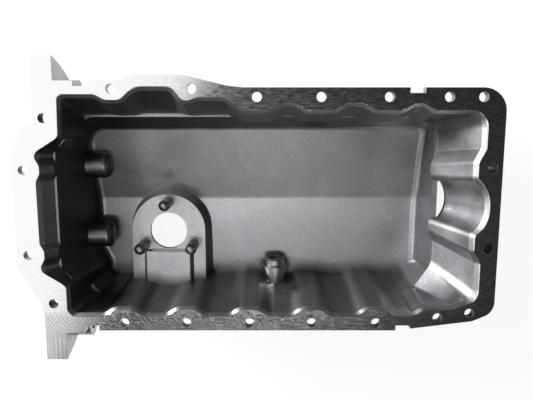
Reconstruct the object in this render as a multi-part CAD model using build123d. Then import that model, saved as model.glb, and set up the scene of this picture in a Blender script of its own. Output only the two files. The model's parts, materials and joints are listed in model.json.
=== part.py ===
from build123d import *
import os
from math import acos, asin, hypot, sin, tan

# Engine oil pan, one aluminium casting, in millimetres.
# +X runs along the crankshaft from the gearbox end to the timing end, +Y to the far side, +Z up to the block.
# The origin is on the underside, below the middle of the pan. Depths are measured down from the gasket rail.

# Heights and walls
total_height = 108.0
rail_thickness = 9.0
wall = 5.0
floor_thickness = 4.5

# Gasket rail: outer edges
near_edge = -105.6
far_edge = 106.4
timing_edge = 209.0
corner_radius = 20.0
near_corner_cut = 8.5
bulge_edge = 116.8
bulge_round = 10.0
bulge_step = 1.6
bulge_start = 28.7
bulge_shoulders = (18.0, -7.3)
bulge_end = 6.0
far_edge_run = -12.0
bell_far_edge = 112.0
bell_near_edge = -108.0
near_cut_end = 190.0
near_cut_run = 8.0
seal_lobe_reach = -209.0
seal_lobe_half_width = 50.0
seal_lobe_round = 24.0
rail_end_far = ((-188.4, 112.0, 1.0), (-188.4, 78.0, 1.0), (-199.0, 72.0, 8.0))
rail_end_near = ((-191.0, -79.0, 6.0), (-188.0, -94.0, 12.0), (-178.0, -108.0, 9.0))
notch_margin = 7.0
notch_width = 13.0
notch_depth = 4.6
near_notches = (-147.0, 129.0)
far_notches = (-147.0, 134.4)

# Gasket rail: inner edges and the bevel below them
near_rim = -92.8
far_rim = 93.6
timing_rim = 194.5
bell_rim = -168.2
bevel_width = 2.5
bevel_depth = 3.0
boss_rise = 6.0
boss_half_top = 8.0
boss_half_foot = 16.5
wide_half_top = 11.5
wide_half_foot = 21.0
boss_round = 12.0
rim_round = 5.0
timing_corner_x = 172.0
timing_corner_run = 8.0
timing_corner_round = 14.0
near_step = (12.6, 2.6)
far_step = (3.3, 15.3)

# Swell of the far inner edge about the two bulge bolts: offset along X, height of the swell, rounding
bulge_timing_side = ((27.7, 5.0, 10.0), (5.7, 5.0, 8.0), (-3.3, 2.0, 6.0), (-8.3, 2.5, 6.0),
                     (-17.0, 13.7, 10.0))
bulge_bell_side = ((19.0, 13.7, 16.0), (7.0, 2.6, 9.0), (-5.0, 2.6, 9.0), (-14.0, 7.3, 9.0))
bulge_end_swell = 7.3

# Rail bolts
bolt_hole = 8.5
spot_face = 15.0
spot_depth = 0.6
bolt_pocket = 14.0
corner_spot_face = 13.0
near_bolts = (-118.0, -63.0, -7.0, 48.0, 105.0)
near_bolt_y = -98.6
far_bolts = (0.0, 54.0, 111.0, 161.0, 189.5)
far_bolt_y = 98.6
bulge_bolts = (-122.0, -54.7)
bulge_bolt_y = 105.2
timing_corner_bolts = ((159.3, -94.0), (187.3, -89.8))
timing_bolts = (-31.4, 40.2)
timing_bolt_x = 200.7
timing_boss_length = 30.0
timing_boss_radius = 8.0
bell_bolts = (-81.0, 81.0)
bell_bolt_x = -179.8
seal_bolts = (-37.2, 37.2)
seal_bolt_x = -199.3

# Walls: inward slope in millimetres for each millimetre of depth
near_slope = 0.076
far_slope = 0.175
timing_slope = 0.5
bell_slope = 0.085
boss_fade = 0.02
bulge_fade_depth = 62.0
corner_facet = 5.0
timing_corner_spread = 0.36
timing_corner_draw = 0.4
near_step_spread = 0.19
far_step_spread = 0.12

# Alcove in the timing end, with an open bottom
alcove_y = 5.0
alcove_reach = 199.9
alcove_half_width = 25.4
alcove_side_slope = 0.095
alcove_slope = 0.39
alcove_ease = 0.9
alcove_opening_depth = 50.0

# Deep sump and its floor
shoulder_depth = 50.0
sump_near = -104.0
sump_far = 82.0
sump_corner_run = 26.0
sump_corner_rise = 28.0
sump_facet_run = 10.0
sump_facet_rise = 20.0
sump_timing = 164.3
sump_far_slope = 0.44
sump_timing_slope = 0.04
sump_round = 9.0
sump_recess_round = 20.0
floor_crease_y = 0.0
floor_crease_depth = 96.0
floor_crease_radius = 12.0
floor_near_fall = 0.05
floor_far_rise = 0.31
floor_fillet = 6.0

# Shelf below the crankshaft seal, at the gearbox end
seal_reach = -189.0
seal_half_width = 52.0
seal_shelf_depth = 15.0
seal_shelf_width = 10.5
seal_shelf_start = -150.0
seal_shelf_spread = 13.0
seal_shelf_draw = 0.15
seal_shelf_round = 12.0
seal_notch_half_top = 3.5
seal_notch_half_foot = 10.0
seal_notch_rise = 3.5
seal_notch_round = 6.0
bell_recess_reach = -181.5
bell_recess_slope = 0.16
bell_recess_half_top = 54.0
bell_recess_half_foot = 66.0

# Oil level sensor seat: a plateau in the floor, hollow below
sensor_x = -90.0
sensor_y = -30.8
sensor_bore = 36.5
plateau_radius = 36.5
plateau_depth = 75.5
plateau_flare = 0.22
tongue_half_width = 21.5
tongue_depth = 69.0
tongue_start = 20.0
tongue_flare = 0.5
screw_count = 3
screw_start_angle = 90.0
screw_circle = 28.5
screw_boss_radius = 5.4
screw_boss_height = 24.0
screw_hole = 5.0
screw_hole_length = 22.0
plateau_hollow_end = -78.0
connector_reach = 10.0

# Drain boss
drain_x = 16.5
drain_mouth_y = -61.0
drain_neck_y = -68.0
drain_axis_depth = 86.0
drain_collar_radius = 11.5
drain_boss_radius = 10.0
drain_flare_radius = 16.0
drain_crest_radius = 2.5
drain_crest_y = -89.0
drain_thread = 14.0
drain_mouth_bevel = 1.5
drain_seat_radius = 13.0
drain_seat_y = -93.5

# Gearbox flange
flange_face = -188.4
flange_thickness = 18.0
flange_radius = 136.5
crank_above_rail = 30.5
flange_foot = 2.0
flange_rim = 14.0
flange_web = 6.0
ear_drop = 0.6
ear_reach = 133.0
ear_bolt_hole = 10.5
flange_boss_radius = 11.5
near_ear_boss_length = 31.0
far_ear_boss_length = 24.0
near_ear_bolt = (-113.0, 38.0)
far_ear_bolt = (104.0, 50.0)
lower_bolts = (-35.0, 35.0)
lower_bolt_depth = 80.0
lower_thread = 10.0
lower_thread_length = 30.0
column_length = 43.0
column_radius = 13.0

# Ribs under the floor
rib_count = 11
rib_thickness = 4.0
rib_first_x = -146.0
rib_last_x = 150.0
rib_near_end = -70.0
rib_far_end = 62.0

# Aids for the construction
rail_top = total_height
smallest_round = 0.8
round_share = 0.96
dome_share = 0.48
cut_margin = 1.0
beyond = 150.0
floor_facing = -0.9


def level(depth):
    """Height of a plane that lies at a depth below the gasket rail."""
    return rail_top - depth


def directions(corners, i):
    """Unit vectors along the sides that enter and leave a corner, and the length of the side that leaves."""
    x, y, _ = corners[i]
    back_x, back_y, _ = corners[i - 1]
    next_x, next_y, _ = corners[(i + 1) % len(corners)]
    side_in = hypot(x - back_x, y - back_y)
    side_out = hypot(next_x - x, next_y - y)
    return ((x - back_x) / side_in, (y - back_y) / side_in,
            (next_x - x) / side_out, (next_y - y) / side_out, side_out)


def shifted(corners, amount):
    """The same outline with every side moved outward by an amount."""
    moved = []
    for i, (x, y, r) in enumerate(corners):
        ax, ay, bx, by, _ = directions(corners, i)
        mitre = amount / (1 + ax * bx + ay * by)
        turns_left = ax * by - ay * bx > 0
        new_r = r + amount if turns_left else r - amount
        moved.append((x + mitre * (ay + by), y - mitre * (ax + bx), max(new_r, smallest_round)))
    return moved


def half_turns(corners):
    """Half of the angle by which each corner turns."""
    turns = []
    for i in range(len(corners)):
        ax, ay, bx, by, _ = directions(corners, i)
        turns.append(acos(ax * bx + ay * by) / 2)
    return turns


def corner_cuts(corners):
    """How far each rounding reaches along its two sides, kept within those sides."""
    turns = half_turns(corners)
    cuts = [corner[2] * tan(turn) for corner, turn in zip(corners, turns)]
    room = []
    for i in range(len(corners)):
        side = directions(corners, i)[4]
        wanted = cuts[i] + cuts[(i + 1) % len(corners)]
        room.append(min(1, round_share * side / wanted))
    return [cut * min(room[i - 1], room[i]) for i, cut in enumerate(cuts)]


def section(corners, depth):
    """A closed face with rounded corners, at a depth below the rail."""
    z = level(depth)
    arcs = []
    for i, (turn, cut) in enumerate(zip(half_turns(corners), corner_cuts(corners))):
        x, y, _ = corners[i]
        ax, ay, bx, by, _ = directions(corners, i)
        inset = (1 / sin(turn) - 1 / tan(turn)) * cut / hypot(bx - ax, by - ay)
        arcs.append(ThreePointArc((x - ax * cut, y - ay * cut, z),
                                  (x + (bx - ax) * inset, y + (by - ay) * inset, z),
                                  (x + bx * cut, y + by * cut, z)))
    sides = [Line(arcs[i - 1] @ 1, arcs[i] @ 0) for i in range(len(arcs))]
    return make_face([edge for pair in zip(sides, arcs) for edge in pair])


def tapered(*stages):
    """A solid that runs straight from one (corners, depth) stage to the next."""
    return loft([section(corners, depth) for corners, depth in stages], ruled=True)


def bosses(stations, foot_y, rise, half_top, half_foot):
    """Corners of the wall bosses beside a row of bolts, from left to right."""
    corners = []
    for x in stations:
        corners += [(x - half_foot, foot_y, boss_round), (x - half_top, foot_y + rise, boss_round),
                    (x + half_top, foot_y + rise, boss_round), (x + half_foot, foot_y, boss_round)]
    return corners


def arc_radius(half_width, rise):
    """Radius of an arc from its half width and its rise."""
    return (half_width ** 2 + rise ** 2) / (2 * rise)


def alcove(depth):
    """Corners of the half-round alcove in the timing wall."""
    base_x = timing_rim - boss_rise - timing_slope * depth + boss_fade * depth
    peak_x = alcove_reach - alcove_slope * depth
    half = alcove_half_width - alcove_side_slope * depth
    radius = arc_radius(half, peak_x - base_x)
    tangent = radius * tan(asin(half / radius) / 2)
    radius *= alcove_ease
    return [(base_x, alcove_y - half, rim_round), (peak_x, alcove_y - tangent, radius),
            (peak_x, alcove_y + tangent, radius), (base_x, alcove_y + half, rim_round)]


def bell_wall(depth):
    """Place along X of the gearbox wall, beside and inside its recess."""
    return bell_rim + bell_slope * depth, bell_recess_reach + bell_recess_slope * depth


def near_side(depth, near, rise):
    """Corners of the near wall from the gearbox end to its last bolt boss."""
    bell, _ = bell_wall(depth)
    corners = [(bell, near + corner_facet, rim_round), (bell + corner_facet, near, rim_round)]
    return corners + bosses(near_bolts, near, rise, boss_half_top, boss_half_foot)


def timing_side(depth, near, far, rise):
    """Corners of the timing wall, with its steps beside the alcove."""
    timing = timing_rim - timing_slope * depth
    corner_x = timing_corner_x - timing_corner_draw * depth
    corner_y = near + rise + timing_corner_run + timing_corner_spread * depth
    near_y = timing_bolts[0] + near_step_spread * depth
    far_y = timing_bolts[1] - far_step_spread * depth
    corners = [(corner_x, near + rise, timing_corner_round), (timing, corner_y, timing_corner_round),
               (timing, near_y - near_step[0], rim_round), (timing - rise, near_y - near_step[1], rim_round)]
    corners += alcove(depth)
    corners += [(timing - rise, far_y + far_step[0], rim_round), (timing, far_y + far_step[1], rim_round)]
    return corners + [(timing, far - rise, timing_corner_round)]


def far_side(depth, far, rise):
    """Corners of the far wall from the timing end to the gearbox end."""
    swell = 1 - depth / bulge_fade_depth
    first, last = bulge_bolts
    corners = [(far_bolts[3] - wide_half_top, far - rise, boss_round),
               (far_bolts[3] - wide_half_foot, far, boss_round)]
    corners += reversed(bosses(far_bolts[1:3], far, -rise, wide_half_top, wide_half_foot))
    corners += [(far_bolts[0] + wide_half_foot, far, boss_round),
                (far_bolts[0] + wide_half_top, far - rise, boss_round),
                (far_bolts[0] - wide_half_top, far - rise, boss_round)]
    corners += [(last + x, far + height * swell, r) for x, height, r in bulge_timing_side]
    corners += [(first + x, far + height * swell, r) for x, height, r in bulge_bell_side]
    bell, recess = bell_wall(depth)
    return corners + [(bell + smallest_round, far + bulge_end_swell * swell, rim_round),
                      (bell, bell_recess_half_foot, rim_round), (recess, bell_recess_half_top, rim_round),
                      (recess, -bell_recess_half_top, rim_round), (bell, -bell_recess_half_foot, rim_round)]


def skirt(depth):
    """Corners of the upper cavity, which follows the rail bolts, counter-clockwise."""
    near = near_rim + near_slope * depth
    far = far_rim - far_slope * depth
    rise = boss_rise - boss_fade * depth
    first_x = timing_corner_bolts[0][0]
    corners = near_side(depth, near, rise)
    corners += [(first_x - wide_half_foot, near, boss_round),
                (first_x - wide_half_top, near + rise, boss_round)]
    return corners + timing_side(depth, near, far, rise) + far_side(depth, far, rise)


def near_limit(depth):
    """Corners of the region inside the near wall, whose bosses run down to the floor of the sump."""
    near = near_rim + near_slope * depth
    rise = boss_rise - boss_fade * depth
    bell, _ = bell_wall(depth)
    first_x = timing_corner_bolts[0][0]
    corner_x = sump_timing + sump_corner_run / 2
    corners = [(bell - sump_facet_run, near + sump_facet_rise, rim_round),
               (bell + sump_facet_run, near, rim_round)]
    corners += bosses(near_bolts, near, rise, boss_half_top, boss_half_foot)
    corners += [(first_x - wide_half_foot, near, boss_round),
                (corner_x - sump_corner_run, near + rise, boss_round),
                (corner_x, near + rise + sump_corner_rise, boss_round)]
    return corners + [(corner_x, beyond, rim_round), (bell - sump_facet_run, beyond, rim_round)]


def seal_shelf(depth):
    """Corners of the shallow shelf below the crankshaft seal."""
    reach = seal_reach + seal_shelf_width * depth / seal_shelf_depth
    half = seal_half_width - seal_shelf_draw * depth
    wide = half + seal_shelf_spread
    corners = [(seal_shelf_start, -wide, rim_round), (seal_shelf_start, wide, rim_round),
               (bell_rim, wide, rim_round), (reach, half, seal_shelf_round)]
    for y in reversed(seal_bolts):
        corners += [(reach, y + seal_notch_half_foot, seal_notch_round),
                    (reach + seal_notch_rise, y + seal_notch_half_top, seal_notch_round),
                    (reach + seal_notch_rise, y - seal_notch_half_top, seal_notch_round),
                    (reach, y - seal_notch_half_foot, seal_notch_round)]
    return corners + [(reach, -half, seal_shelf_round), (bell_rim, -wide, rim_round)]


def sump(depth):
    """Corners of the deep sump below the shoulder, which run out beyond the near wall."""
    below = depth - shoulder_depth
    far = sump_far - sump_far_slope * below
    timing = sump_timing - sump_timing_slope * below
    bell, recess = [x + bevel_width for x in bell_wall(depth)]
    return [(bell, sump_near, sump_round), (timing, sump_near, sump_round),
            (timing, far, sump_round), (recess, far, sump_recess_round),
            (recess, -bell_recess_half_top, sump_round), (bell, -bell_recess_half_foot, sump_round)]


def floor_line(y):
    """Depth of the inner floor: it falls to the drain side and rises to the far side of its crease."""
    if y < floor_crease_y:
        return floor_crease_depth + floor_near_fall * (floor_crease_y - y)
    return floor_crease_depth - floor_far_rise * (y - floor_crease_y)


def below_floor(offset):
    """Everything that lies more than an offset below the inner floor."""
    profile = FilletPolyline((-beyond, -beyond), (beyond, -beyond),
                             (beyond, level(floor_line(beyond) + offset)),
                             (floor_crease_y, level(floor_crease_depth + offset)),
                             (-beyond, level(floor_line(-beyond) + offset)),
                             radius=floor_crease_radius, close=True)
    return extrude(Plane.YZ * make_face(profile), amount=2 * beyond, both=True)


def rounded_floor(body, radius):
    """Round the edge between the floor and the walls."""
    floors = [f for f in body.faces() if f.normal_at().Z < floor_facing]
    edges = [e for f in floors for e in f.edges()]
    rim = [e for e in edges if edges.count(e) == 1]
    return fillet(rim, radius)


def sensor_outline(radius, foot_y):
    """Arch around the sensor bore, open towards the near wall."""
    return (Pos(sensor_x, sensor_y) * Circle(radius)
            + Pos(sensor_x, (sensor_y + foot_y) / 2) * Rectangle(2 * radius, sensor_y - foot_y))


def tongue_outline(half_width, foot_y):
    """Strip from beside the sensor bore to the near wall."""
    start_y = sensor_y - tongue_start
    return Pos(sensor_x, (start_y + foot_y) / 2) * Rectangle(2 * half_width, start_y - foot_y)


def raised(outline, size, top_depth, flare, foot_y, bottom_depth):
    """A drafted block of an outline, from its top down."""
    top = Pos(0, 0, level(top_depth)) * outline(size, foot_y)
    bottom = Pos(0, 0, level(bottom_depth)) * outline(size + flare * (bottom_depth - top_depth), foot_y)
    return loft([top.face(), bottom.face()], ruled=True)


def sensor_seat(inset, plateau_end, tongue_end):
    """Plateau and tongue, each as far as its end on the near side; with an inset, the hollow below them."""
    bottom = total_height
    plateau = raised(sensor_outline, plateau_radius - inset, plateau_depth + inset, plateau_flare,
                     plateau_end, bottom)
    tongue = raised(tongue_outline, tongue_half_width - inset, tongue_depth + inset, tongue_flare,
                    tongue_end, bottom)
    return plateau + tongue


def screw_places():
    """Places of the three sensor screws, on a circle about the bore."""
    return Pos(sensor_x, sensor_y) * PolarLocations(screw_circle, screw_count, start_angle=screw_start_angle)


def domed(x, y, radius, top_depth, bottom_depth):
    """A vertical rod with a rounded top."""
    rod = upright(x, y, radius, top_depth, bottom_depth - top_depth)
    return fillet(rod.edges().group_by(Axis.Z)[-1], dome_share * radius)


def screw_bosses():
    """Domed bosses around the sensor bore."""
    boss = domed(0, 0, screw_boss_radius, plateau_depth - screw_boss_height, plateau_depth + wall)
    return [place * boss for place in screw_places()]


def deep_part(grown, inset, top, floor_offset):
    """The sump from a depth down to its rounded floor, bounded by the near wall."""
    bottom = total_height + floor_thickness
    body = tapered((shifted(sump(top), grown), top), (shifted(sump(bottom), grown), bottom))
    body = rounded_floor(body - below_floor(floor_offset), floor_fillet)
    return body & tapered((shifted(near_limit(top), inset), top), (shifted(near_limit(bottom), inset), bottom))


def inner_cavity():
    """The open inside of the pan."""
    upper = tapered((skirt(0), 0), (shifted(skirt(bevel_depth), -bevel_width), bevel_depth),
                    (shifted(skirt(shoulder_depth), -bevel_width), shoulder_depth))
    lower = deep_part(0, -bevel_width, shoulder_depth, 0)
    shelf = tapered((seal_shelf(0), 0), (seal_shelf(seal_shelf_depth), seal_shelf_depth))
    return upper + lower + shelf


def outer_body():
    """The walls and floor as a block, before the inside is opened."""
    side = wall - bevel_width
    foot = shoulder_depth + wall
    upper = tapered((shifted(skirt(0), side), 0), (shifted(skirt(foot), side), foot))
    lower = deep_part(wall, side, foot, floor_thickness)
    shelf = tapered((shifted(seal_shelf(0), side), 0),
                    (shifted(seal_shelf(seal_shelf_depth), side), seal_shelf_depth + wall))
    return upper + lower + shelf


def rail_outline():
    """Outer edge of the gasket rail, counter-clockwise from the near notch at the gearbox end."""
    first, last = bulge_bolts
    corner_y = near_edge + near_corner_cut
    corners = [(near_notches[0] - notch_margin, bell_near_edge, smallest_round),
               (near_notches[0] + notch_margin, near_edge, smallest_round),
               (near_notches[1] - notch_margin, near_edge, smallest_round),
               (near_cut_end, corner_y, timing_corner_round),
               (timing_edge, corner_y + near_cut_run, timing_corner_round),
               (timing_edge, far_edge, corner_radius)]
    corners += [(far_bolts[0] + far_edge_run, far_edge, bulge_round),
                (last + bulge_start, far_edge + bulge_step, corner_radius),
                (last + bulge_shoulders[1], bulge_edge, bulge_round),
                (first + bulge_shoulders[0], bulge_edge, bulge_round),
                (first + bulge_end, bell_far_edge, bulge_round)]
    lobe = [(seal_lobe_reach, seal_lobe_half_width, timing_corner_round),
            (seal_lobe_reach, -seal_lobe_half_width, seal_lobe_round)]
    return corners + [*rail_end_far, *lobe, *rail_end_near]


def rail():
    """The machined flange that carries the gasket."""
    plate = extrude(section(rail_outline(), 0), amount=-rail_thickness)
    for x in near_notches:
        plate -= Pos(x, near_edge, rail_top) * Box(notch_width, 2 * notch_depth, 3 * rail_thickness)
    for x in far_notches:
        edge = far_edge if x > 0 else bell_far_edge
        plate -= Pos(x, edge, rail_top) * Box(notch_width, 2 * notch_depth, 3 * rail_thickness)
    return plate


def rail_bolt_places():
    """Bolt holes of the gasket rail that have a pocket for the bolt head below."""
    places = [(x, near_bolt_y) for x in near_bolts]
    places += [(x, far_bolt_y) for x in far_bolts]
    places += [(x, bulge_bolt_y) for x in bulge_bolts]
    places += [(bell_bolt_x, y) for y in bell_bolts]
    places += [(seal_bolt_x, y) for y in seal_bolts]
    return places


def upright(x, y, radius, top_depth, length):
    """A vertical rod that hangs down from a depth."""
    return Pos(x, y, level(top_depth + length / 2)) * Cylinder(radius, length)


def rail_bolt_cuts():
    """Holes of the gasket rail and the faces below it for the bolt heads."""
    thickness = 2 * rail_thickness
    cuts = []
    for x, y in rail_bolt_places():
        cuts.append(upright(x, y, bolt_hole / 2, 0, thickness))
        cuts.append(upright(x, y, spot_face / 2, rail_thickness - spot_depth, bolt_pocket))
    for x, y in timing_corner_bolts:
        cuts.append(upright(x, y, bolt_hole / 2, 0, thickness))
        cuts.append(upright(x, y, corner_spot_face / 2, rail_thickness - spot_depth, bolt_pocket))
    for y in timing_bolts:
        cuts.append(upright(timing_bolt_x, y, bolt_hole / 2, 0, timing_boss_length + cut_margin))
        cuts.append(upright(timing_bolt_x, y, spot_face / 2, timing_boss_length - spot_depth, bolt_pocket))
    return cuts


def gearbox_flange():
    """Plate across the gearbox end, an arc about the crankshaft, with a raised rim."""
    crank = Pos(0, rail_top + crank_above_rail)
    reach = 2 * flange_radius
    ear_top = level(ear_drop)
    below_rail = Pos(0, (ear_top + flange_foot) / 2) * Rectangle(2 * ear_reach, ear_top - flange_foot)
    disc = crank * Circle(flange_radius) & below_rail
    shelf_floor = level(seal_shelf_depth + wall)
    hollow = crank * Circle(flange_radius - flange_rim)
    hollow &= Pos(0, shelf_floor - reach / 2) * Rectangle(reach, reach)
    hollow &= Pos(0, flange_foot + flange_rim + reach / 2) * Rectangle(reach, reach)
    face = Plane.YZ.offset(flange_face)
    plate = extrude(face * disc, amount=flange_thickness)
    plate -= extrude(face * hollow, amount=flange_thickness - flange_web)
    return plate


def along_x(y, depth, radius, length):
    """A rod along X that starts at the gearbox face."""
    return extrude(Plane.YZ.offset(flange_face) * Pos(y, level(depth)) * Circle(radius), amount=length)


def flange_bosses():
    """Bolt bosses of the gearbox flange."""
    solids = along_x(*near_ear_bolt, flange_boss_radius, near_ear_boss_length)
    solids += along_x(*far_ear_bolt, flange_boss_radius, far_ear_boss_length)
    for y in lower_bolts:
        solids += along_x(y, lower_bolt_depth, flange_boss_radius, flange_thickness)
    return solids


def flange_columns():
    """Round-ended bosses inside the gearbox wall, on webs, which hold the ends of the threaded holes."""
    height = level(lower_bolt_depth)
    web_length = column_length - 2 * column_radius * dome_share
    solids = Part()
    for y in lower_bolts:
        rod = along_x(y, lower_bolt_depth, column_radius, column_length)
        rod = fillet(rod.edges().group_by(Axis.X)[-1], dome_share * column_radius)
        web = Pos(flange_face + column_length / 2, y, height / 2) * Box(web_length, column_radius, height)
        solids += rod + web
    return solids


def along_y(y, radius, length):
    """A rod on the drain axis that runs from a place towards the near side."""
    return extrude(drain_circle(y, radius, 0), amount=length)


def drain_circle(y, radius, raised_by):
    """A disc across the drain axis, or above it."""
    centre = Pos(drain_x, level(drain_axis_depth) + raised_by)
    return (Plane.XZ.offset(-y) * centre * Circle(radius)).face()


def drain_boss():
    """Drain boss inside the near wall: a collar, and behind it a shoulder that narrows to a crest."""
    collar = along_y(drain_mouth_y, drain_collar_radius, drain_mouth_y - drain_neck_y)
    collar = chamfer(collar.edges().group_by(Axis.Y)[-1], drain_mouth_bevel)
    shoulder = loft([drain_circle(drain_neck_y, drain_flare_radius, 0),
                     drain_circle(drain_crest_y, drain_crest_radius, drain_flare_radius - drain_crest_radius)])
    return collar + shoulder + along_y(drain_neck_y, drain_boss_radius, drain_neck_y - near_rim)


def drain_seat():
    """Round seat for the plug washer, on the outside."""
    return along_y(near_rim + wall, drain_seat_radius, near_rim + wall - drain_seat_y)


def timing_bosses():
    """Long bosses for the two bolts beside the alcove."""
    return [upright(timing_bolt_x, y, timing_boss_radius, 0, timing_boss_length) for y in timing_bolts]


def alcove_opening():
    """The open bottom of the alcove, outside the end wall of the sump."""
    depth = alcove_opening_depth
    edge = sump_timing + wall
    peak_x = alcove_reach - alcove_slope * depth - bevel_width
    half = alcove_half_width - alcove_side_slope * depth
    outline = make_face([ThreePointArc((edge, alcove_y - half), (peak_x, alcove_y), (edge, alcove_y + half)),
                         Line((edge, alcove_y + half), (edge, alcove_y - half))])
    return extrude(Pos(0, 0, level(depth - wall)) * outline, amount=depth - total_height)


def flange_holes():
    """Clearance holes in the ears and blind threads in the lower bosses."""
    holes = [along_x(*near_ear_bolt, ear_bolt_hole / 2, near_ear_boss_length),
             along_x(*far_ear_bolt, ear_bolt_hole / 2, far_ear_boss_length)]
    for y in lower_bolts:
        holes.append(along_x(y, lower_bolt_depth, lower_thread / 2, lower_thread_length))
    return holes


def ribs():
    """Ribs below the floor, level with the underside of the pan."""
    step = (rib_last_x - rib_first_x) / (rib_count - 1)
    ends = (rib_near_end, floor_crease_y, rib_far_end)
    tops = [(y, level(floor_line(y) + floor_thickness / 2)) for y in reversed(ends)]
    profile = make_face(Polyline((rib_near_end, 0), (rib_far_end, 0), *tops, close=True))
    return [extrude(Plane.YZ.offset(rib_first_x + i * step) * profile, amount=rib_thickness / 2, both=True)
            for i in range(rib_count)]


block = outer_body()
pan = block + rail() + gearbox_flange() + flange_bosses() + timing_bosses() + drain_seat() + ribs()
pan -= inner_cavity()
pan += (sensor_seat(0, near_rim, near_rim) + flange_columns() + drain_boss()) & block
pan += screw_bosses()
pan -= sensor_seat(wall, plateau_hollow_end, near_rim - connector_reach)
pan -= upright(sensor_x, sensor_y, sensor_bore / 2, tongue_depth - cut_margin, total_height)
pan -= [place * upright(0, 0, screw_hole / 2, plateau_depth + wall - screw_hole_length, total_height)
        for place in screw_places()]
pan -= rail_bolt_cuts()
pan -= flange_holes()
pan -= alcove_opening()
pan -= along_y(0, drain_thread / 2, -near_edge)

pan.label = "oil_pan"
os.makedirs("parts", exist_ok=True)
export_step(pan, "parts/oil_pan.step")
print("solids", len(pan.solids()), "volume", pan.volume, pan.bounding_box())
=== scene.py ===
import json
import math

import bpy
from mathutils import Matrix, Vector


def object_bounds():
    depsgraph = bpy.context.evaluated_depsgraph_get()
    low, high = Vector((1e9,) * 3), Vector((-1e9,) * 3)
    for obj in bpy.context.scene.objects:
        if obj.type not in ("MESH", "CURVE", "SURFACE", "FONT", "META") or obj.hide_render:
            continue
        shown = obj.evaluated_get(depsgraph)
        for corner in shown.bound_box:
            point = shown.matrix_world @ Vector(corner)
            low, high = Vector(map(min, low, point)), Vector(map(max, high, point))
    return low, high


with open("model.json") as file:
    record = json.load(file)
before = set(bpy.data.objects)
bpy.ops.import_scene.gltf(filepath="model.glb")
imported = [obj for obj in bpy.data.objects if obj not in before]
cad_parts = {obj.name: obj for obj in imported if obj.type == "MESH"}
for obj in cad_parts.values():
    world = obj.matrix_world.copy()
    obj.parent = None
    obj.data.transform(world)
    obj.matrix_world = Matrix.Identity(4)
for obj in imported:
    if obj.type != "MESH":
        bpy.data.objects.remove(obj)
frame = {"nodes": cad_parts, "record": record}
cadLow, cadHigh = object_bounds()
print("frame loaded")

pan = frame["nodes"]["oil_pan"]
mounts = {mount["name"]: mount for mount in frame["record"]["mounts"]}
railTop = cadHigh.z
flangeX = mounts["gearbox_face"]["pos_m"][0]


class Field:  # one socket, so that sums can be written with it
    def __init__(self, tree, socket):
        self.tree = tree
        self.socket = socket

    def math(self, kind, *others):
        return self.tree.node("ShaderNodeMath", {"operation": kind}, self, *others)

    def reflected(self, kind, other):
        return self.tree.node("ShaderNodeMath", {"operation": kind}, other, self)

    def __add__(self, other):
        return self.math("ADD", other)

    def __radd__(self, other):
        return self.reflected("ADD", other)

    def __sub__(self, other):
        return self.math("SUBTRACT", other)

    def __rsub__(self, other):
        return self.reflected("SUBTRACT", other)

    def __mul__(self, other):
        return self.math("MULTIPLY", other)

    def __rmul__(self, other):
        return self.reflected("MULTIPLY", other)

    def __truediv__(self, other):
        return self.math("DIVIDE", other)

    def __rtruediv__(self, other):
        return self.reflected("DIVIDE", other)

    def above(self, edge, soft):  # 0 below the edge and 1 above it
        return self.tree.smooth(self, edge - soft, edge + soft)

    def below(self, edge, soft):
        return 1 - self.above(edge, soft)


class Tree:  # the nodes of one material or of the world
    def __init__(self, holder):
        holder.use_nodes = True
        self.nodes = holder.node_tree.nodes
        self.links = holder.node_tree.links
        self.nodes.clear()

    def node(self, kind, settings, *values, output=None, **named):
        made = self.nodes.new(kind)
        for key, value in settings.items():
            setattr(made, key, value)
        sockets = [socket for socket in made.inputs if socket.enabled]
        pairs = list(zip(sockets, values))
        pairs += [(made.inputs[name.replace("_", " ")], value) for name, value in named.items()]
        for socket, value in pairs:
            if isinstance(value, Field):
                self.links.new(value.socket, socket)
            else:
                socket.default_value = (*value, 1.0) if socket.type == "RGBA" else value
        results = (socket for socket in made.outputs if socket.enabled and output in (None, socket.name))
        return Field(self, next(results, None))

    def smooth(self, value, low, high):
        return self.node("ShaderNodeMapRange", {"interpolation_type": "SMOOTHSTEP"}, value, low, high)

    def ramp(self, value, low, high, start, end):
        return self.node("ShaderNodeMapRange", {}, value, low, high, start, end)

    def noise(self, where, scale, detail, rough=0.5):
        return self.node("ShaderNodeTexNoise", {}, Vector=where, Scale=scale, Detail=detail, Roughness=rough)

    def blend(self, share, first, second):  # for colours
        return self.node("ShaderNodeMix", {"data_type": "RGBA"}, share, first, second)

    def mixed(self, share, first, second):  # for numbers
        return first + share * (second - first)

    def vector(self, kind, *values):
        return self.node("ShaderNodeVectorMath", {"operation": kind}, *values)

    def parts(self, vector, axes="XYZ"):
        return [self.node("ShaderNodeSeparateXYZ", {}, vector, output=axis) for axis in axes]


# where each mask has its edge, and half the width over which it fades, in metres
edges = {
    "rail": (railTop - 0.0013, 0.0003),
    # top of the rail's inner chamfer: a machined edge whose bright colour is also a painted highlight along
    # the inner edge
    "bevel": (railTop - 0.0005, 0.0002),
    "flange": (flangeX + 0.0003, 0.0002),
    "earSide": (0.1085, 0.0003),
    "earBack": (-0.165, 0.0005),
    "nearRail": (-0.09, 0.004),
    # where the painted shade beside the gearbox wall starts, where it ends, and where it stops at the sides
    "shadeStart": (flangeX + 0.0024, 0.0005),
    "shadeEnd": (-0.122, 0.014),
    "shadeSide": (0.088, 0.001),
}

# the same for the direction that a face looks in, from -1 to 1
facings = {
    "level": (0.97, 0.02),
    "sloping": (0.40, 0.1),
    "earTop": (0.9, 0.05),
    "towardsGearbox": (-0.97, 0.02),
    "bossTop": (0.2, 0.1),
}

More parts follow.
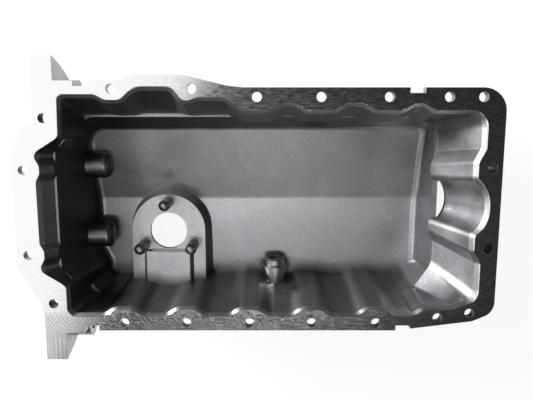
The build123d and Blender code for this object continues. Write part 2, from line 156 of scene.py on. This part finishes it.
casting = {
    "base": (0.235, 0.24, 0.25),
    "light": (0.335, 0.34, 0.35),
    "dark": (0.12, 0.122, 0.126),
    "paintedShade": (0.07, 0.072, 0.075),  # painted shade: a darker colour for the inside beside the gearbox wall, where that wall blocks the light
    "paintedShadeShare": 0.55,
    "roughness": (0.33, 0.43),
    "blotches": (26.0, 4.0, 0.55),  # scale, detail and roughness of the noise
    "fine": (1400.0, 3.0, 0.6),
    "grains": (420.0, 2.0, 0.5),
    "blotchRange": (0.3, 0.72),
    "grainRange": (0.4, 0.8),
    "grainShare": 0.3,
    "blotchHeight": 1.5,
    "fineHeight": 0.6,
    "grainHeight": 0.7,
    "relief": 0.75,
    "reliefDepth": 0.00012,
}

machined = {
    "base": (0.62, 0.625, 0.63),
    "groove": (0.34, 0.345, 0.35),
    "flange": (0.42, 0.425, 0.43),
    "roughness": (0.12, 0.23),
    "flangeRougher": 0.26,
    "strokes": (160.0, 900.0, 1.0),
    "strokeDetail": 2.0,
    "strokeHeight": 0.04,
    "grooveHeight": 0.20,
}

faceMill = {
    "radius": 0.040,
    "line": -0.0726,  # y of the middle of its path
    "feed": 0.0034,
    "backFeed": 0.004454,
    "share": 0.6,
    "backShare": 0.4,
    "waver": 0.0012,
    "waverNoise": (60.0, 3.0),
}

screwBosses = {
    "centre": mounts["sensor_screws"]["pos_m"],
    "circle": mounts["sensor_screws"]["dims"]["pcd_mm"] / 2000,
    "radius": 0.0054,
    "turns": (90, 210, 330),
    "rim": (1.02, 0.02),
}

roughnessRange = (0.3, 0.7)  # the part of a noise that the roughness follows


def machinedFaces(x, y, z, nx, nz):
    aside = y.math("ABSOLUTE")
    rail = z.above(*edges["rail"]) * nz.above(*facings["level"])
    # the top of the chamfer takes the machined colour, partly a real machined edge and partly a painted
    # highlight
    bevel = z.above(*edges["bevel"]) * nz.above(*facings["sloping"]) * nz.below(*facings["level"])
    ears = aside.above(*edges["earSide"]) * x.below(*edges["earBack"]) * nz.above(*facings["earTop"])
    flange = x.below(*edges["flange"]) * nx.below(*facings["towardsGearbox"])
    milled = rail.math("MAXIMUM", bevel).math("MAXIMUM", flange).math("MAXIMUM", ears)
    return milled, flange


def millMarks(tree, place, x, y):  # crossing arcs on the near rail
    across = y - faceMill["line"]
    radius = faceMill["radius"]
    sweep = (radius * radius - across * across).math("MAXIMUM", 0.0).math("SQRT")
    waver = tree.noise(place, *faceMill["waverNoise"]) * faceMill["waver"]
    arcs = ((x - sweep + waver) / faceMill["feed"]).math("FRACT")
    backArcs = ((x + sweep - waver) / faceMill["backFeed"]).math("FRACT")
    return (arcs * faceMill["share"] + backArcs * faceMill["backShare"]) * y.below(*edges["nearRail"])


def paintedGearboxShade(x, y):  # where the painted shade goes: the inside next to the gearbox wall
    side = y.math("ABSOLUTE").below(*edges["shadeSide"])
    return x.above(*edges["shadeStart"]) * x.below(*edges["shadeEnd"]) * side


def domeBend(tree, x, y, nz):  # rounds the tops of the three screw bosses
    centreX, centreY, _ = screwBosses["centre"]
    circle = screwBosses["circle"]
    radius = screwBosses["radius"]
    bendX, bendY = 0.0, 0.0
    for turn in screwBosses["turns"]:
        angle = math.radians(turn)
        outX = (x - (centreX + circle * math.cos(angle))) / radius
        outY = (y - (centreY + circle * math.sin(angle))) / radius
        top = (outX * outX + outY * outY).below(*screwBosses["rim"]) * nz.above(*facings["bossTop"])
        bendX, bendY = bendX + top * outX, bendY + top * outY
    return tree.node("ShaderNodeCombineXYZ", {}, bendX, bendY)


def panMaterial():
    material = bpy.data.materials.new("panCasting")
    tree = Tree(material)
    place = tree.node("ShaderNodeTexCoord", {}, output="Object")
    facing = tree.node("ShaderNodeNewGeometry", {}, output="Normal")
    x, y, z = tree.parts(place)
    nx, nz = tree.parts(facing, "XZ")

    milled, flange = machinedFaces(x, y, z, nx, nz)
    swirl = millMarks(tree, place, x, y)
    strokes = tree.vector("MULTIPLY", place, machined["strokes"])
    brushed = tree.noise(strokes, 1.0, machined["strokeDetail"])
    blotches, fine, grains = [tree.noise(place, *casting[name]) for name in ("blotches", "fine", "grains")]

    lightShare = tree.ramp(blotches, *casting["blotchRange"], 0.0, 1.0)
    darkShare = tree.ramp(grains, *casting["grainRange"], 0.0, casting["grainShare"])
    castColour = tree.blend(lightShare, casting["base"], casting["light"])
    castColour = tree.blend(darkShare, castColour, casting["dark"])
    # paints shade into the colour beside the gearbox wall
    castColour = tree.blend(paintedGearboxShade(x, y) * casting["paintedShadeShare"], castColour, casting["paintedShade"])
    millColour = tree.blend(swirl, machined["base"], machined["groove"])
    millColour = tree.blend(flange, millColour, machined["flange"])
    colour = tree.blend(milled, castColour, millColour)

    castRough = tree.ramp(blotches, *roughnessRange, *casting["roughness"])
    millRough = tree.ramp(brushed, *roughnessRange, *machined["roughness"])
    millRough = millRough + flange * machined["flangeRougher"]
    roughness = tree.mixed(milled, castRough, millRough)

    castHeight = fine * casting["fineHeight"] + grains * casting["grainHeight"]
    castHeight = castHeight + blotches * casting["blotchHeight"]
    millHeight = brushed * machined["strokeHeight"] + swirl * machined["grooveHeight"]
    height = tree.mixed(milled, castHeight, millHeight)
    shape = tree.vector("NORMALIZE", tree.vector("ADD", facing, domeBend(tree, x, y, nz)))
    relief = tree.node("ShaderNodeBump", {}, Strength=casting["relief"], Distance=casting["reliefDepth"],
                       Height=height, Normal=shape)
    shader = tree.node("ShaderNodeBsdfPrincipled", {}, Base_Color=colour, Metallic=1.0, Roughness=roughness,
                       Normal=relief)
    tree.node("ShaderNodeOutputMaterial", {}, Surface=shader)
    return material


pan.data.materials.clear()
pan.data.materials.append(panMaterial())
print("pan finished")

stageLook = {
    "floorSize": 12,
    "floorGap": 0.0003,  # between the pan and the floor
    "floor": (0.86, 0.86, 0.86),
    "white": (1.0, 1.0, 1.0),
    "seen": 0.91,  # how much of the floor the camera sees as plain white
    "low": 0.20,  # strength of the surrounding light near the horizon
    "zenith": 0.025,
    "fade": (0.1, 0.62),
}

# place over the rail's top, size in metres, turns in degrees and power in watts
lamps = {
    "softbox": ((-1.23, 0.25, 1.2), (1.9, 1.7), (0, 0, -28), 15),
    "topPanel": ((-0.06, -0.280, 1.2), (0.70, 0.17), (0, 0, 0), 3.4),
    "nearPanel": ((0.02, -0.95, 1.2), (0.50, 0.26), (0, 0, 0), 1.9),
    "sidePanel": ((-2.81, 1.0, 0.756), (0.84, 1.26), (0, -75, -20), 390),
}


def paperFloor():
    height = cadLow.z - stageLook["floorGap"]
    bpy.ops.mesh.primitive_plane_add(size=stageLook["floorSize"], location=(0, 0, height))
    floor = bpy.context.object
    floor.name = "floor"
    material = bpy.data.materials.new("floorPaper")
    tree = Tree(material)
    seen = tree.node("ShaderNodeLightPath", {}, output="Is Camera Ray")
    matt = tree.node("ShaderNodeBsdfDiffuse", {}, stageLook["floor"])
    white = tree.node("ShaderNodeEmission", {}, stageLook["white"], 1.0)
    shader = tree.node("ShaderNodeMixShader", {}, seen * stageLook["seen"], matt, white)
    tree.node("ShaderNodeOutputMaterial", {}, Surface=shader)
    floor.data.materials.append(material)


def surroundings():  # white to the camera, and dimmer towards the top as a light
    world = bpy.data.worlds.new("studioWorld")
    bpy.context.scene.world = world
    tree = Tree(world)
    seen = tree.node("ShaderNodeLightPath", {}, output="Is Camera Ray")
    around = tree.node("ShaderNodeTexCoord", {}, output="Generated")
    up, = tree.parts(around, "Z")
    strength = tree.ramp(up, *stageLook["fade"], stageLook["low"], stageLook["zenith"])
    soft = tree.node("ShaderNodeBackground", {}, stageLook["white"], strength)
    white = tree.node("ShaderNodeBackground", {}, stageLook["white"], 1.0)
    shader = tree.node("ShaderNodeMixShader", {}, seen, soft, white)
    tree.node("ShaderNodeOutputWorld", {}, Surface=shader)


def areaLight(name, place, size, turns, power):
    light = bpy.data.lights.new(name, "AREA")
    light.shape = "RECTANGLE"
    light.size, light.size_y = size
    light.energy = power
    lamp = bpy.data.objects.new(name, light)
    bpy.context.scene.collection.objects.link(lamp)
    lamp.location = (place[0], place[1], railTop + place[2])
    lamp.rotation_euler = [math.radians(turn) for turn in turns]


camera = {
    "place": (0.008, 0.0836, 0.470),  # over the rail's top
    "tilt": -8.7,
    "sensor": 36,
    "lensPixels": 555,
    "photoWidth": 533,
}


def photoCamera():
    data = bpy.data.cameras.new("photoCamera")
    data.sensor_fit = "HORIZONTAL"
    data.sensor_width = camera["sensor"]
    data.lens = camera["sensor"] * camera["lensPixels"] / camera["photoWidth"]
    eye = bpy.data.objects.new("photoCamera", data)
    bpy.context.scene.collection.objects.link(eye)
    eye.location = (camera["place"][0], camera["place"][1], railTop + camera["place"][2])
    eye.rotation_euler = (math.radians(camera["tilt"]), 0, 0)
    bpy.context.scene.camera = eye


paperFloor()
surroundings()
for name, settings in lamps.items():
    areaLight(name, *settings)
photoCamera()
bpy.context.scene.view_settings.view_transform = "Standard"
print("studio and camera set")
